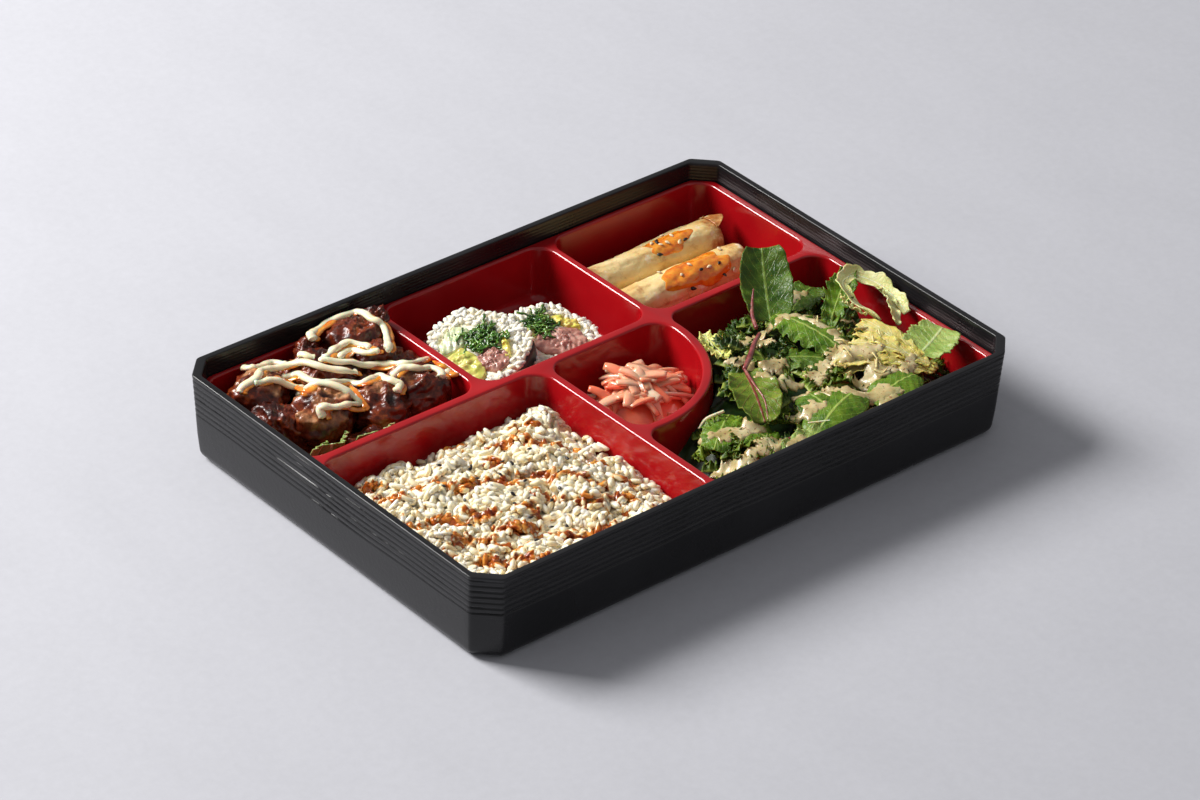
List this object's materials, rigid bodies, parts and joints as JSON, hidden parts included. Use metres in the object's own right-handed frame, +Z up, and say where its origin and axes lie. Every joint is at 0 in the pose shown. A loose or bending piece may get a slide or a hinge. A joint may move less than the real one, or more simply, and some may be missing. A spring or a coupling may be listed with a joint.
{
  "type": "bento box meal",
  "caption": "Open rectangular lunch box with chamfered corners and a red divided tray holding rice, glazed chicken, sushi roll slices, spring rolls, pickled strips and dressed salad",
  "frame": {"origin": "centre of the box's underside, on the surface it stands on", "axes": "+X along the box's long side, +Y across it towards the pockets of chicken, sushi and spring rolls, +Z up"},
  "size_m": [0.36, 0.2508, 0.0628],
  "materials": {
    "box_black": "black lacquer look, satin",
    "tray_red": "glossy red moulded plastic",
    "rice_white": "moist cooked rice",
    "nori": "dark dried seaweed",
    "maki_rice": "moist pressed rice",
    "avocado": "soft cut avocado",
    "seaweed": "wet seaweed strands",
    "fish": "moist pink fish",
    "egg": "soft yellow egg",
    "chicken": "browned and glazed",
    "wrapper": "fried pastry",
    "pickle": "wet pickled strips",
    "salad_green": "leafy, dressed",
    "leaf_dark": "waxy leaf",
    "leaf_light": "waxy leaf",
    "leaf_pale": "waxy pale leaf"
  },
  "bodies": {
    "root": {"outer_box_floor": "box_black", "outer_box_front": "box_black", "outer_box_right": "box_black", "outer_box_back": "box_black", "outer_box_left": "box_black", "tray_chicken": "tray_red", "tray_maki": "tray_red", "tray_rolls_left": "tray_red", "tray_rolls_right": "tray_red", "tray_rice_back_left": "tray_red", "tray_rice_back_right": "tray_red", "tray_rice_front_left": "tray_red", "tray_rice_front_right": "tray_red", "tray_pickle": "tray_red", "tray_salad_left": "tray_red", "tray_salad_middle": "tray_red", "tray_salad_back_right": "tray_red", "tray_salad_front_right": "tray_red", "rice": "rice_white", "pickles": "pickle", "salad": "salad_green", "leaf_standing": "leaf_dark", "leaf_strip": "leaf_dark", "leaf_pale_curl": "leaf_pale", "leaf_light_green": "leaf_light", "leaf_frisee": "leaf_pale", "leaf_round": "leaf_dark", "leaf_folded": "leaf_light", "leaf_red_stem": "leaf_dark", "leaf_middle": "leaf_dark", "leaf_back": "leaf_dark", "leaf_yellow": "leaf_pale", "chicken_base": "chicken", "chicken_back": "chicken", "chicken_back_small": "chicken", "chicken_char": "chicken", "chicken_middle_right": "chicken", "chicken_middle": "chicken", "chicken_left_back": "chicken", "chicken_left": "chicken", "chicken_front_left": "chicken", "chicken_front_middle": "chicken", "chicken_front_right": "chicken", "lettuce": "leaf_light", "spring_roll_back": "wrapper", "spring_roll_front": "wrapper", "maki_left_nori": "nori", "maki_left_rice": "maki_rice", "maki_left_avocado": "avocado", "maki_left_seaweed": "seaweed", "maki_left_cucumber": "leaf_light", "maki_left_fish": "fish", "maki_left_egg": "egg", "maki_right_nori": "nori", "maki_right_rice": "maki_rice", "maki_right_avocado": "avocado", "maki_right_seaweed": "seaweed", "maki_right_fish": "fish", "maki_right_egg": "egg"}
  },
  "joints": []
}
